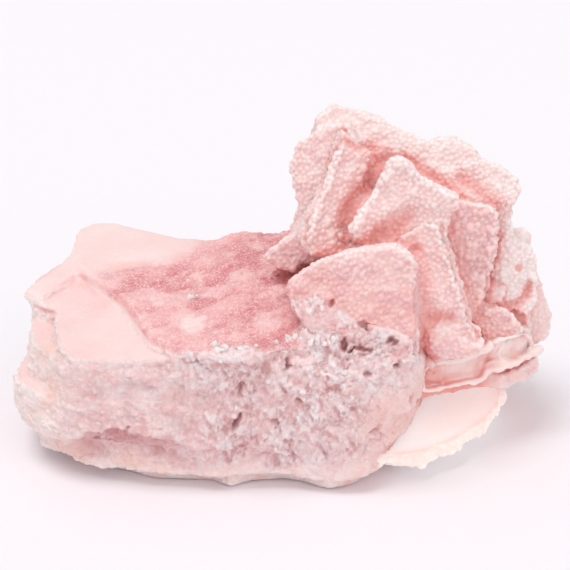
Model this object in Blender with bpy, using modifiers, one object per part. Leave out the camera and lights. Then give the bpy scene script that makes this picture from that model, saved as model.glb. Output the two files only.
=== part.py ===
"""Halite: a cluster of stepped cubic crystals grown on a slab of massive halite, as one solid.

Metres, +Z up, origin at the middle of the footprint. +X is the cluster's end of the slab, -Y its broken front.
Outlines and places are in millimetres and are scaled once, where they become meshes.
"""

import math

import bmesh
import bpy
from mathutils import Euler, Matrix, Vector, noise
from mathutils.bvhtree import BVHTree

MM = 0.001
NAME = "halite_cluster"

# Driving sizes, in millimetres and degrees.
BED_RISE = 5.4  # the bedding of the slab climbs towards the back by this angle
LOWER_BED = 30.2  # height of the lower smooth bed above the middle of the footprint
UPPER_BED = 32.8  # height of the upper bed, which carries the crystals
SPAR_TOP = 6.4  # top of the thin plate under the cluster
SPAR_THICKNESS = 3.0
EDGE = 0.9  # worn rounding of crystal edges
VOXEL = 0.9  # grid on which the overlapping growths are fused
BEAD_SIZE = 5.0  # pitch of the lumps that cover the crystals
BEAD_HEIGHT = 0.8
CRUMBLE_SIZE = 8.0  # largest lumps of the broken walls
CRUMBLE_HEIGHT = 0.9
BED_WAVE = 0.5  # unevenness of the smooth beds
BED_WAVELENGTH = 11.0
TRIANGLES = 9600  # budget of the surface before its foot is planed off
GROUND = 400  # edge of the block that planes off the foot

# Layers of the slab that lie flat: (bottom, top, outline seen from above).
STRATA = (
    (-3.0, 5.5, [(-15, -22.5), (-10.5, -26), (-7, -23), (0, -22), (4, -23.5), (8, -26.5), (14, -24.5), (18, -19),
                 (21, -6), (23, 8), (17, 19), (0, 23), (-20, 21), (-33, 13), (-37, 0), (-30, -14)]),
    (3.0, 10.5, [(-50, -5), (-47, -14), (-40, -20), (-28, -25), (-14, -27.5), (-2, -26.5), (8, -28), (16.5, -28),
                 (20, -23), (25, -10), (29, 2), (31, 14), (23, 22), (6, 27), (-14, 26), (-32, 26), (-45, 19),
                 (-50, 6)]),
    (8.5, 18.0, [(-55, -3), (-54, -12), (-48.5, -19.5), (-41, -24), (-28, -26.5), (-13, -28), (2, -27.5),
                 (13, -28.5), (20, -27), (24, -20), (28, -4), (33, 8), (31, 19), (20, 25), (0, 28), (-20, 28),
                 (-38, 29), (-48, 20), (-54, 8)]),
    (16.0, 26.0, [(-52.5, -1), (-51, -11), (-46.5, -18.5), (-42, -24.5), (-30, -26.5), (-14, -27.5), (2, -27.5),
                  (15, -28), (24.5, -26.5), (27.5, -18), (29, -2), (32, 10), (28, 20), (10, 27), (-8, 28.5),
                  (-26, 27), (-40, 30), (-50, 18), (-52, 8)]),
)

# The plate of clear spar under the cluster, seen from above.
SPAR_OUTLINE = [(14, -27), (18.5, -26.5), (21, -24), (24.5, -24), (28, -23.5), (30, -21), (33.5, -19), (37, -14.5),
                (42.5, -7), (47, 1), (48.5, 9), (46, 16), (36, 23), (20, 24), (8, 18), (6, -8)]

# Sloping beds on top of the slab: (height, thickness, outline seen from above).
BEDS = (
    (LOWER_BED, 7.5, [(-52.5, 0), (-46.5, -4.5), (-46, -13), (-43.5, -21), (-40, -26), (-30, -26), (-18, -27),
                      (-6, -28), (6, -27), (18, -27), (24, -24), (24, 10), (10, 27), (-20, 26), (-40, 29),
                      (-49, 19), (-53.5, 10)]),
    (LOWER_BED + 1.5, 2.4, [(-54.5, 1.5), (-50, -1), (-46.5, 5), (-43, 12), (-36, 20), (-38, 27), (-46, 22),
                            (-49.5, 12), (-52.5, 6)]),
    (UPPER_BED, 2.4, [(-46, 15), (-43, 9), (-38, 2.5), (-33, -5.5), (-30, -12), (-28, -17), (-26, -22), (-20, -27),
                      (-13, -29), (-6, -28.5), (2, -26), (12, -24), (24, -18), (28, 0), (27, 22), (12, 29.5),
                      (1, 31.5), (-8, 29.5), (-15.5, 26), (-23, 27), (-32, 31.5), (-38, 35), (-43, 35.5),
                      (-46, 32), (-46.5, 27)]),
)

# Crystals: outer face at this place, turned about the vertical and tipped up by these angles, with the outline of
# the face (x to the right, y up the face) and the thickness behind it.
CRYSTALS = {
    "outer_left": ((5, 5, 53.5), -25, 15, 22, [(-5.1, 2.9), (-4.3, 8.1), (-0.4, 11), (6, 14.3), (10, 8.3), (9, -10),
                                               (-0.2, -11.3), (-2.2, -4.4)]),
    "summit": ((27.5, 5, 57.5), 5, 32, 24, [(-20.7, 10.9), (-17, 14.2), (-14, 13.3), (-8.4, 11), (-0.6, 6.4),
                                            (2.4, 4.8), (3.7, 5.6), (8, 5.5), (10.7, 2.9), (12.6, 0.1), (16.7, -2.1),
                                            (19.8, -4.9), (19.9, -6.8), (17.3, -8.6), (15.7, -11), (11, -19),
                                            (-12, -19), (-19, -13.5), (-20.2, 3.7)]),
    "second_left": ((10, -2, 52.5), 12, 18, 18, [(2.2, 14.3), (5.1, 11.7), (8.3, 9.5), (7.6, -0.5), (2.7, -12.6),
                                                 (-5.4, -11), (-6.8, -7.2), (-4.7, -2.3), (-1.4, 4.1)]),
    "inner_step": ((22.5, -8, 54), 0, 18, 20, [(0, 8.6), (2.1, 7.4), (3.9, 4.7), (7.8, 2.9), (11.4, 1.2),
                                               (11.4, -1.6), (7.9, -2.8), (4, -1.2), (0.8, -1.4), (-1.9, -2.8),
                                               (-4.1, -5.4), (-5.8, -8), (-8.6, -8), (-9.4, -4.9), (-7.4, -2),
                                               (-5.1, 1.2), (-3.1, 4.9), (-1.8, 7.6)]),
    "inner_floor": ((22.5, -5, 51), 0, 18, 16, [(-8, -10), (9, -10), (10, 2), (0, 4), (-6, 2)]),
    "blade": ((30.5, -12, 39), 0, 15, 20, [(-10.7, 6.3), (-7.9, 8.7), (-4, 11.2), (-0.9, 11.6), (1.1, 9.3),
                                           (2.5, 5.5), (4.3, 0), (6, -5.5), (7, -9.1), (6.4, -13), (-3, -14.3),
                                           (-5.9, -4)]),
    "blade_foot": ((33.5, -15, 28.5), 8, 25, 18, [(-6.1, 2.1), (-4.6, 3.8), (2.5, 4), (3.6, 2.8), (5.8, 1.1),
                                                  (6.2, -0.5), (5.7, -2.5), (2.8, -3.5), (-3.3, -4.4),
                                                  (-5.6, -2.7)]),
    "front_cube": ((12.5, -21, 40), -4, 22, 16, [(-12.5, 0.9), (-9.7, 4), (-6.3, 6), (-1.2, 7.8), (5.1, 9.1),
                                                 (8.4, 9.2), (10.5, 8.1), (12.5, 5.7), (13.2, 0.3), (13.6, -11.5),
                                                 (8.9, -13.5), (-3.5, -12.5), (-9.4, -7), (-12, -1.6)]),
    "beaded_face": ((38.8, -2.5, 42), 14, 10, 20, [(-6.8, 11.5), (4.9, 8.2), (4.3, 0.7), (2.8, -8.9), (0.4, -13.3),
                                                 (-2.5, -14.7), (-8.5, -13.3), (-10.1, 4.9)]),
    "right_step": ((47.2, 2.5, 36), 10, 15, 20, [(-4, 12.9), (-1.1, 11.6), (0.1, 8.6), (1.5, 6.1), (3.4, 5.4),
                                               (5, 2.6), (5.4, -6.5), (2.9, -10), (-2.2, -7.5), (-5.3, -5.5),
                                               (-4.8, 2.3)]),
    "right_corner": ((53.8, 7, 25.3), 25, 10, 22, [(-8.4, 3.4), (-4.5, 9.2), (0.1, 11), (1.7, 4), (3.2, -1.8),
                                                 (2.5, -5.1), (-0.1, -6.9), (-3.6, -6.3), (-6.3, -2.2)]),
    "low_cube": ((44, -4, 26.5), 5, 20, 14, [(-6.2, 0.8), (-3.6, 4), (-0.5, 4.5), (2.6, 2.2), (4.6, -0.4),
                                             (5.6, -2), (0.9, -4.3), (-3, -4.6), (-4.2, -1.9)]),
    "left_spur": ((1, 1, 40.5), -20, 20, 16, [(-5.9, -1.9), (-4.4, 0.3), (-0.8, 3), (1.6, 4.9), (6.2, 5.6),
                                              (7.1, -1.7), (2.9, -2.1), (1, -4.4), (-2.1, -3.9)]),
}

# Cubes that carry and back the cluster: (middle, edges, turns about X, Y and Z).
CUBES = (
    ((27, 12, 33), (36, 20, 42), (-6, 4, 6)),
    ((38, 14, 24), (30, 22, 26), (0, -6, -8)),
    ((19, 17, 46), (19, 15, 19), (-14, 10, -12)),
    ((31, 18, 43), (19, 16, 19), (-12, -14, 10)),
    ((42, 18, 29), (16, 16, 19), (-6, 8, -14)),
    ((24, 25, 34), (18, 12, 16), (-16, -8, 22)),
    ((38, 26, 24), (16, 11, 14), (-10, 12, 4)),
    ((14, 24, 36), (12, 12, 12), (-4, 20, 30)),
)

# Thin growths between the cluster and its plate: (bottom, top, outline seen from above).
FLAKES = (
    (10.4, 15.6, [(27, -10), (32, -7), (40, -4), (45, -4.5), (49.5, -1), (53.5, 4), (54, 12), (50, 19), (38, 24),
                  (24, 20), (20, 0)]),
    (17.3, 19.3, [(26, -13), (33, -11.5), (39, -9), (43, -5), (44, 4), (34, 10), (24, 6)]),
    (17.8, 21.6, [(38, -4), (43, -6), (48, -3), (51.5, 3), (51, 12), (44, 16), (34, 8)]),
)


def new_object(name, mesh):
    """Links a mesh to the working collection as an object."""
    made = bpy.data.objects.new(name, mesh)
    workshop.objects.link(made)
    return made


def evaluated_mesh(source):
    """The mesh that an object's modifiers, or its curve, give."""
    graph = bpy.context.evaluated_depsgraph_get()
    return bpy.data.meshes.new_from_object(source.evaluated_get(graph))


def prism(name, outline, thickness, place):
    """A closed outline with a thickness below it and worn edges. place carries it from its own plane, in mm."""
    curve = bpy.data.curves.new(name, "CURVE")
    curve.dimensions = "2D"
    curve.fill_mode = "BOTH"
    curve.extrude = (thickness / 2 - EDGE) * MM
    curve.bevel_depth = EDGE * MM
    curve.bevel_resolution = 1
    curve.offset = -EDGE * MM
    spline = curve.splines.new("POLY")
    spline.points.add(len(outline) - 1)
    for point, (x, y) in zip(spline.points, outline):
        point.co = (x * MM, y * MM, 0, 1)
    spline.use_cyclic_u = True
    guide = new_object(name + "_outline", curve)
    bpy.context.view_layer.update()
    mesh = evaluated_mesh(guide)
    bpy.data.objects.remove(guide)
    sink = Matrix.Translation((0, 0, -thickness / 2 * MM))
    to_metres = Matrix.Translation(place.translation * MM) @ place.to_3x3().to_4x4()
    mesh.transform(to_metres @ sink)
    weld(mesh)
    return new_object(name, mesh)


def weld(mesh):
    """Closes the seam between a curve's caps and its sides."""
    shell = bmesh.new()
    shell.from_mesh(mesh)
    bmesh.ops.remove_doubles(shell, verts=shell.verts, dist=1e-6)
    bmesh.ops.recalc_face_normals(shell, faces=shell.faces)
    shell.to_mesh(mesh)
    shell.free()


def cube(name, middle, edges, turns):
    """A halite cube with worn edges."""
    bpy.ops.mesh.primitive_cube_add(size=MM, location=Vector(middle) * MM,
                                    rotation=[math.radians(turn) for turn in turns])
    made = bpy.context.object
    made.name = name
    made.scale = edges
    bpy.ops.object.transform_apply(location=True, rotation=True, scale=True)
    rounding = made.modifiers.new("worn_edges", "BEVEL")
    rounding.width = 2 * EDGE * MM
    rounding.segments = 2
    return made


def slab_pieces():
    """Flat strata, the spar plate and the sloping beds."""
    for number, (bottom, top, outline) in enumerate(STRATA):
        yield prism(f"stratum_{number}", outline, top - bottom, Matrix.Translation((0, 0, top)))
    yield prism("spar_plate", SPAR_OUTLINE, SPAR_THICKNESS, Matrix.Translation((0, 0, SPAR_TOP)))
    slope = Matrix.Rotation(math.radians(BED_RISE), 4, "X")
    for number, (height, thickness, outline) in enumerate(BEDS):
        yield prism(f"bed_{number}", outline, thickness, Matrix.Translation((0, 0, height)) @ slope)


def crystal_pieces():
    """The stepped crystals, the cubes behind them and the flakes under them."""
    for name, (at, yaw, pitch, thickness, outline) in CRYSTALS.items():
        turn = Euler((math.radians(90 - pitch), 0, math.radians(yaw))).to_matrix().to_4x4()
        yield prism(name, outline, thickness, Matrix.Translation(at) @ turn)
    for number, (middle, edges, turns) in enumerate(CUBES):
        yield cube(f"cube_{number}", middle, edges, turns)
    for number, (bottom, top, outline) in enumerate(FLAKES):
        yield prism(f"flake_{number}", outline, top - bottom, Matrix.Translation((0, 0, top)))


def fused(pieces):
    """One closed surface round all the overlapping pieces."""
    whole = bmesh.new()
    for piece in pieces:
        whole.from_mesh(evaluated_mesh(piece))
        bpy.data.objects.remove(piece)
    mesh = bpy.data.meshes.new(NAME)
    whole.to_mesh(mesh)
    whole.free()
    body = new_object(NAME, mesh)
    grid = body.modifiers.new("fuse", "REMESH")
    grid.mode = "VOXEL"
    grid.voxel_size = VOXEL * MM
    bpy.context.view_layer.update()
    body.data = evaluated_mesh(body)
    body.modifiers.clear()
    return body


def surface_of(pieces):
    """A search tree over the outsides of some pieces."""
    whole = bmesh.new()
    for piece in pieces:
        whole.from_mesh(evaluated_mesh(piece))
    tree = BVHTree.FromBMesh(whole)
    whole.free()
    return tree


def lump(place, size):
    """Height of close-packed round lumps at a place: 0 between them, 1 on top."""
    nearest = noise.voronoi(place / (size * MM))[0][0]
    return max(0.0, 1.0 - nearest * nearest)


def crumble(place, size):
    """Uneven broken rock, drawn out along the bedding, from about -1 to 1."""
    drawn_out = Vector((place.x, place.y, 1.6 * place.z)) / (size * MM)
    return noise.fractal(drawn_out, 0.8, 2.1, 3)


def relief(place, normal, crystals):
    """How far the surface stands out at a place, in mm: beaded on crystals, even on the beds, broken elsewhere."""
    gap = crystals.find_nearest(place)[3]
    beaded = max(0.0, 1.0 - gap / (2 * VOXEL * MM))
    even = smooth_step(0.75, 0.95, normal.z)
    beads = BEAD_HEIGHT * (lump(place, BEAD_SIZE) - 0.5)
    rock = CRUMBLE_HEIGHT * crumble(place, CRUMBLE_SIZE)
    bed = BED_WAVE * noise.noise(place / (BED_WAVELENGTH * MM))
    return beaded * beads + (1 - beaded) * (even * bed + (1 - even) * rock)


def smooth_step(low, high, value):
    share = min(1.0, max(0.0, (value - low) / (high - low)))
    return share * share * (3 - 2 * share)


def roughen(body, crystals):
    """Moves the surface in or out along its normals by the relief."""
    moves = [relief(vertex.co, vertex.normal, crystals) * MM * vertex.normal for vertex in body.data.vertices]
    for vertex, move in zip(body.data.vertices, moves):
        vertex.co += move


def cut_to_rest(body):
    """Planes off all below the surface that the cluster rests on."""
    bpy.ops.mesh.primitive_cube_add(size=GROUND * MM, location=(0, 0, -GROUND / 2 * MM))
    ground = bpy.context.object
    ground.name = "ground_cutter"
    ground.hide_render = True
    ground.display_type = "WIRE"
    for holder in ground.users_collection:
        holder.objects.unlink(ground)
    cutters.objects.link(ground)
    planed = body.modifiers.new("rest_face", "BOOLEAN")
    planed.operation = "DIFFERENCE"
    planed.object = ground


def centre(body):
    """Brings the middle of the footprint to the origin."""
    across = [corner[0] for corner in body.bound_box]
    along = [corner[1] for corner in body.bound_box]
    middle = Vector((max(across) + min(across), max(along) + min(along), 0)) / 2
    body.data.transform(Matrix.Translation(-middle))


def pink_halite():
    """Pale pink, slightly glossy salt."""
    material = bpy.data.materials.new("pink_halite")
    material.use_nodes = True
    shader = material.node_tree.nodes["Principled BSDF"]
    shader.inputs["Base Color"].default_value = (0.85, 0.60, 0.58, 1)
    shader.inputs["Roughness"].default_value = 0.5
    shader.inputs["IOR"].default_value = 1.544
    return material


def clear_scene():
    for old in list(bpy.data.objects):
        bpy.data.objects.remove(old)


def collection(name):
    made = bpy.data.collections.new(name)
    bpy.context.scene.collection.children.link(made)
    return made


def main():
    slab = list(slab_pieces())
    crystals = list(crystal_pieces())
    beaded = surface_of(crystals)
    body = fused(slab + crystals)
    roughen(body, beaded)
    thin = body.modifiers.new("fewer_faces", "DECIMATE")
    thin.ratio = TRIANGLES / (2 * len(body.data.polygons))
    cut_to_rest(body)
    bpy.context.view_layer.update()
    body.data = evaluated_mesh(body)
    body.modifiers.clear()
    centre(body)
    body.data.materials.append(pink_halite())


clear_scene()
workshop = collection(NAME)
cutters = collection("cutters")
main()
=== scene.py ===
"""Looks of the halite cluster: sugary stepped crystals on a broken slab of layered pink halite.

The outlines below are in millimetres, in the slab's own plan: +X towards the crystals, -Y the broken
front, +Z up. FOOT_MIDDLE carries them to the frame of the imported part.
"""

import math
from itertools import product

import bmesh
import bpy
import numpy as np
from mathutils import Euler, Matrix, Vector
from mathutils.bvhtree import BVHTree
from mathutils.kdtree import KDTree


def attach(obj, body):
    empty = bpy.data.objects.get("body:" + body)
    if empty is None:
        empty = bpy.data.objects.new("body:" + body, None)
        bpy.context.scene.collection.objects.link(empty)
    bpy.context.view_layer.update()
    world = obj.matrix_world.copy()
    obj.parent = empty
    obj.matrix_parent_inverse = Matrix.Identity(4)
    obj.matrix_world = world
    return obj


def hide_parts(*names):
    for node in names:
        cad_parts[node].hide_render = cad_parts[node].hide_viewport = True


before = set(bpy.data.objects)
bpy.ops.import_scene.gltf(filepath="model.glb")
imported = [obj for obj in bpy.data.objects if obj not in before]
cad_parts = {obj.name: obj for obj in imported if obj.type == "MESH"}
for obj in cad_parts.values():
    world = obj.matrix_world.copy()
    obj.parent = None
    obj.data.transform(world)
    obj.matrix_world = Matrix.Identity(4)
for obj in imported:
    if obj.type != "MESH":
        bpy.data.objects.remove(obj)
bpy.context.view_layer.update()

MM = 0.001
NODE = "halite_cluster"
FOOT_MIDDLE = Vector((0.689, 3.2, 0))  # the frame's origin in the plan of the outlines

BED_RISE = 5.4  # the beds rise towards the back by this many degrees
LOWER_BED = 30.2
UPPER_BED = 32.8
BED_THICKNESS = 2.4
SPAR_TOP = 6.4
SPAR_THICKNESS = 3.0
EDGE = 0.9  # wear of a prism's and a cube's edges

PAINTED_GLOW = 0.34  # painted glow: emission that stands in for light scattered inside the plate, as a share of white

DEEP = 1.2  # a surface this far inside the specimen is out of sight
THINNING = 0.9  # share of the triangles dropped there
SEEN_SHADE = 0.999  # a point shaded more than this is out of sight

# Size of the voxels that fuse each kind of piece.
CRYSTAL_VOXEL, BACK_VOXEL, SLAB_VOXEL, SHELF_VOXEL, PLATE_VOXEL = 0.48, 0.8, 0.63, 0.36, 0.45

GRAIN_GAP = 0.8  # least distance between the usual grains
GRAIN_RADII = (0.38, 0.54)
LARGE_RADII = (0.62, 0.9)
LARGE_GRAIN = 0.6  # grains over this radius are pale: a painted highlight
FAR_GRAINS = 1.6  # size of the grains out of the front's sight, as a multiple of the usual size
BACK_GRAINS = 1.5
GRAIN_REACH = 1.6  # a single large grain sits on a surface no further from it than this
NEAR_GRAINS = 6  # grains that can cover a point

CAMERA_RISE = 20  # degrees over the horizon
CAMERA_DISTANCE = 325
LOOK_HEIGHT = 33.5

# Beds of the slab: (bottom, top, outline seen from above).
STRATA = (
    (0.0, 5.5, [(-15, -22.5), (-10.5, -26), (-7, -23), (0, -22), (4, -23.5), (8, -26.5), (14, -24.5),
        (18, -19), (21, -6), (23, 8), (17, 19), (0, 23), (-20, 21), (-37, 14), (-45, 0), (-40, -14),
        (-26, -22)]),
    (3.0, 10.5, [(-52.5, -4), (-50, -13), (-42, -20.5), (-28, -25), (-14, -27.5), (-2, -26.5), (8, -28),
        (16.5, -28), (20, -23), (25, -10), (29, 2), (31, 14), (23, 22), (6, 27), (-14, 26), (-32, 26),
        (-46, 19), (-52, 7)]),
    (8.5, 18.0, [(-55, -3), (-54, -12), (-48.5, -19.5), (-41, -24), (-28, -26.5), (-13, -28), (2, -27.5),
        (13, -28.5), (20, -27), (24, -20), (28, -4), (33, 8), (31, 19), (20, 25), (0, 28), (-20, 28),
        (-38, 29), (-48, 20), (-54, 8)]),
    (16.0, 26.0, [(-52.5, -1), (-51, -11), (-46.5, -18.5), (-42, -24.5), (-30, -26.5), (-14, -27.5),
        (2, -27.5), (15, -28), (24.5, -26.5), (27.5, -18), (29, -2), (32, 10), (28, 20), (10, 27),
        (-8, 28.5), (-26, 27), (-40, 30), (-50, 18), (-52, 8)]),
)

# Outlines, seen from above, of the thin plate and of the tilted beds on the slab.
SPAR_OUTLINE = [
    (14, -26), (18.5, -25.6), (21, -23.3), (24.5, -23), (28, -22.2), (30, -20), (33.5, -17.7), (37, -13.4),
    (42.3, -6.4), (46, 1.5), (47.5, 9), (46, 16), (36, 23), (20, 24), (8, 18), (6, -8),
]
LOWER_OUTLINE = [
    (-52.5, 0), (-46.5, -4.5), (-46, -13), (-43.5, -21), (-40, -26), (-30, -26), (-18, -27), (-6, -28),
    (6, -27), (18, -27), (24, -24), (24, 10), (10, 27), (-20, 26), (-40, 29), (-49, 19), (-53.5, 10),
]
RIM_OUTLINE = [
    (-54.5, 1.5), (-50, -1), (-46.5, 5), (-43, 12), (-36, 20), (-38, 27), (-46, 22), (-49.5, 12),
    (-52.5, 6),
]
UPPER_OUTLINE = [
    (-46, 15), (-43, 9), (-38, 2.5), (-33, -5.5), (-30, -12), (-28, -17), (-26, -22), (-20, -27),
    (-13, -29), (-6, -28.5), (2, -26), (12, -24), (24, -18), (28, 0), (27, 22), (12, 29.5), (1, 31.5),
    (-8, 29.5), (-15.5, 26), (-23, 27), (-32, 31.5), (-38, 35), (-43, 35.5), (-46, 32), (-46.5, 27),
]

# Crystals: (place of the outer face, turn about the vertical, tip upwards, thickness, outline of the face).
CRYSTALS = {
    "outer_left": ((5, 5, 53.5), -25, 15, 22, [(-5.1, 2.9), (-4.3, 8.1), (-0.4, 11), (6, 14.3), (10, 8.3),
        (9, -10), (-0.2, -11.3), (-2.2, -4.4)]),
    "summit": ((27.5, 5, 57.5), 5, 32, 24, [(-20.7, 10.9), (-17, 14.2), (-14, 13.3), (-8.4, 11),
        (-0.6, 6.8), (2.3, 5.2), (3.7, 6.6), (8, 6.6), (10.9, 4.1), (13.2, 1.5), (17.3, -0.3), (20.3, -2.8),
        (20.8, -6), (18, -9), (15.7, -10.5), (11, -11.5), (5, -15), (-12, -19), (-19, -13.5),
        (-20.2, 3.7)]),
    "second_left": ((10, -2, 52.5), 12, 18, 18, [(2.2, 14.3), (5.1, 11.7), (8.3, 9.5), (7.6, -0.5),
        (2.7, -12.6), (-5.4, -11), (-6.8, -7.2), (-4.7, -2.3), (-1.4, 4.1)]),
    "inner_step": ((22.5, -8, 54), 0, 18, 20, [(0, 8.6), (2.1, 7.4), (3.9, 4.7), (7.8, 2.9), (11.4, 1.2),
        (11.4, -1.6), (7.9, -2.8), (4, -1.2), (0.8, -1.4), (-1.9, -2.8), (-4.1, -5.4), (-5.8, -8),
        (-8.6, -8), (-9.4, -4.9), (-7.4, -2), (-5.1, 1.2), (-3.1, 4.9), (-1.8, 7.6)]),
    "inner_floor": ((22.5, -8, 51), 0, 18, 16, [(-8, -10), (9, -10), (10, 2), (0, 4), (-6, 2)]),
    "blade": ((30.5, -12, 39), 0, 15, 20, [(-10.7, 6.3), (-7.9, 8.7), (-4, 11.2), (-0.9, 11.6), (1.1, 9.3),
        (2.5, 5.5), (4.3, 0), (6, -5.5), (7, -9.1), (6.4, -13), (-3, -14.3), (-5.9, -4)]),
    "blade_foot": ((33.5, -15, 28.5), 8, 25, 18, [(-6.1, 2.1), (-4.6, 3.8), (2.5, 4), (3.6, 2.8),
        (5.8, 1.1), (6.2, -0.5), (5.8, -3.2), (2.8, -4.4), (-3.3, -5.2), (-5.6, -3.2)]),
    "front_cube": ((12.5, -21, 40), -4, 22, 16, [(-12.5, 0.9), (-9.7, 4), (-6.3, 6), (-1.2, 7.8),
        (5.1, 9.1), (8.4, 9.2), (10.5, 8.1), (12.5, 5.7), (13.2, 0.3), (13.6, -11.5), (8.9, -13.5),
        (-3.5, -12.5), (-9.4, -7), (-12, -1.6)]),
    "beaded_face": ((38.8, -2.5, 42), 14, 10, 20, [(-6.8, 11.5), (4.9, 8.2), (4.3, 0.7), (2.8, -8.9),
        (0.4, -13.3), (-2.5, -14.7), (-8.5, -13.3), (-10.1, 4.9)]),
    "right_step": ((47.2, 2.5, 36), 10, 15, 20, [(-4, 12.9), (-1.1, 11.6), (0.1, 8.6), (1.5, 6.1),
        (3.4, 5.4), (5, 2.6), (5.4, -6.5), (2.9, -10), (-2.2, -7.5), (-5.3, -5.5), (-4.8, 2.3)]),
    "right_corner": ((53.8, 7, 25.3), 25, 10, 22, [(-8.4, 3.4), (-4.5, 9.2), (0.1, 11), (1.7, 4),
        (3.2, -1.8), (2.5, -5.1), (-0.1, -6.9), (-3.6, -6.3), (-6.3, -2.2)]),
    "low_cube": ((44, -4, 26.5), 5, 20, 14, [(-6.2, 0.8), (-3.6, 4), (-0.5, 4.5), (2.6, 2.2), (4.6, -0.4),
        (5.6, -2), (0.9, -4.3), (-3, -4.6), (-4.2, -1.9)]),
    "left_spur": ((1, 1, 40.5), -20, 20, 16, [(-5.9, -1.9), (-4.4, 0.3), (-0.8, 3), (1.6, 4.9), (6.2, 5.6),
        (7.1, -1.7), (2.9, -2.1), (1, -4.4), (-2.1, -3.9)]),
}

# Depth of the mauve tint, on the crystals where it isn't the usual one.
# Below PLAIN a crystal is paler and less shaded: partly its own colour, partly painted light.
PLAIN = 0.25
TINTS = {
    "beaded_face": 1.0, "low_cube": 0.95, "left_spur": 1.0, "front_cube": 1.0, "blade_foot": 0.85,
    "right_step": 0.0, "right_corner": 0.2,
}

# The cluster's pieces: (name, crystals, seed, whether broken crust covers the foot).
GROUPS = (
    ("crystals_top", ("outer_left", "summit"), 100, False),
    ("crystals_left", ("second_left", "inner_step", "inner_floor", "left_spur"), 150, False),
    ("crystals_front", ("front_cube", "blade", "blade_foot"), 200, True),
    ("crystals_right", ("beaded_face", "right_step", "right_corner", "low_cube"), 300, False),
)

# Cubes that carry and back the cluster: (middle, edges, turns about X, Y and Z).
CUBES = (
    ((27, 12, 33), (36, 20, 42), (-6, 4, 6)),
    ((38, 15.6, 24), (30, 22, 26), (0, -6, -8)),
    ((19, 17, 46), (19, 15, 19), (-14, 10, -12)),
    ((31, 18, 43), (19, 16, 19), (-12, -14, 10)),
    ((42, 18, 29), (16, 16, 19), (-6, 8, -14)),
    ((24, 25, 34), (18, 12, 16), (-16, -8, 22)),
    ((38, 26, 24), (16, 11, 14), (-10, 12, 4)),
    ((14, 24, 36), (12, 12, 12), (-4, 20, 30)),
    ((27.5, -9.5, 23), (6, 8, 8), (0, 0, 0)),
    ((42.5, 1.8, 30.5), (5, 6, 6), (0, 0, 10)),
)

# Thin growths between the cluster and its plate: (bottom, top, outline seen from above).
FLAKES = (
    (11.8, 15.6, [(27, -10), (32, -7), (40, -4), (45, -4.5), (49.5, -1), (53.5, 4), (54, 12), (50, 19),
        (38, 24), (24, 20), (20, 0)]),
    (15.4, 21.8, [(26, -11.6), (33, -10.3), (39, -7.8), (43, -4.2), (44, 4), (34, 10), (24, 6)]),
    (17.8, 23.6, [(38, -4), (42, -5.8), (44.5, -5.4), (48, -3), (50.8, 1), (51, 12), (44, 16), (34, 8)]),
)

# Thin lips of the growths over the plate: (width, places along the lip).
LIPS = (
    (1.3, [(28, -13.3, 15.3), (27.3, -13.6, 17.2), (27.4, -13.6, 19.1), (28.2, -13.2, 20.7),
        (29.7, -12.6, 21.5)]),
    (2.4, [(28.8, -12.4, 21.6), (32.1, -11.4, 21.7), (35.6, -10.4, 21.8), (38.4, -9.1, 22),
        (40.6, -7.6, 22.5), (41.9, -6.8, 23.4)]),
    (1.6, [(28, -13.1, 15.3), (30.6, -12.2, 15.5), (33.3, -11.2, 15.7), (35.8, -10.2, 15.9),
        (38.7, -8.9, 15.8), (40.4, -8.1, 16.3), (41.4, -7.6, 17.5)]),
    (0.7, [(40.1, -7, 18.4), (42.3, -6.5, 19.3), (44.7, -6, 18.7), (46.6, -5, 18.7), (48.5, -3.5, 19),
        (50.4, -1.5, 19.3), (51.2, 0, 20.7), (50.3, -1, 22.6), (48.9, -3, 23.9)]),
    (0.8, [(41.3, -6.5, 23.1), (43.8, -6, 23.8), (46.4, -5, 24), (48.9, -3, 23.9)]),
    (1.7, [(40.6, -7.2, 17.8), (43.9, -6.7, 17.6), (47.3, -4.8, 18.2), (50.8, -2, 18.6), (53.5, 1, 19)]),
    (0.5, [(45, -5.5, 22.5), (43.9, -6, 21.1), (44.6, -6, 19.6), (46.6, -5, 18.7)]),
)

# Hollows in the broken wall: (middle, half sizes, turn about Y in degrees, depth).
HOLLOWS = (
    ((-9.4, -27.6, 15.3), (0.75, 3, 2.6), 18, 2.6),
    ((-8.3, -27.6, 22.4), (0.8, 3, 2.2), 4, 1.4),
    ((0.7, -26.4, 27.1), (0.7, 3, 1.7), 12, 2.2),
    ((11.2, -24.7, 30.6), (1, 3, 1.7), 10, 3),
    ((14.5, -25.2, 29.7), (3.8, 3, 0.6), -4, 1.8),
    ((20.3, -24.8, 31.4), (1.3, 3, 0.7), 20, 2.2),
    ((8.8, -22, 37.6), (0.8, 3, 0.8), 0, 1.8),
    ((15.3, -23.8, 33.7), (1.6, 3, 0.6), 25, 1.5),
    ((21, -25.9, 26.6), (1.3, 3, 0.8), 40, 2),
    ((15.8, -27.4, 25.6), (1.1, 3, 0.9), 30, 1.3),
    ((2.7, -27.4, 19.7), (0.8, 3, 0.6), -30, 1.3),
    ((-2.1, -27.6, 15.2), (0.7, 3, 0.8), 40, 1.3),
    ((17.4, -27.3, 13.4), (1.6, 3, 0.9), -40, 0.8),
    ((25.4, -25.6, 19.2), (1.6, 4, 2.2), 0, 2.2),
    ((26.6, -25, 27), (1.2, 4, 2), 0, 1.6),
    ((9.5, -27.4, 22.2), (2.6, 3, 1.2), -10, 0.8),
    ((-38, -24, 20), (2.5, 3, 1.6), 10, 0.7),
    ((-26, -26.5, 8.5), (3, 3, 1.5), 0, 0.8),
)

# Top of the recess under the slab's left ledge: (x, z).
OVERHANG = ((-44, 8.5), (-38.4, 11.5), (-35.9, 12.5), (-32.2, 13.7), (-29.9, 13.2), (-24.2, 12), (-18, 9.5))

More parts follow.
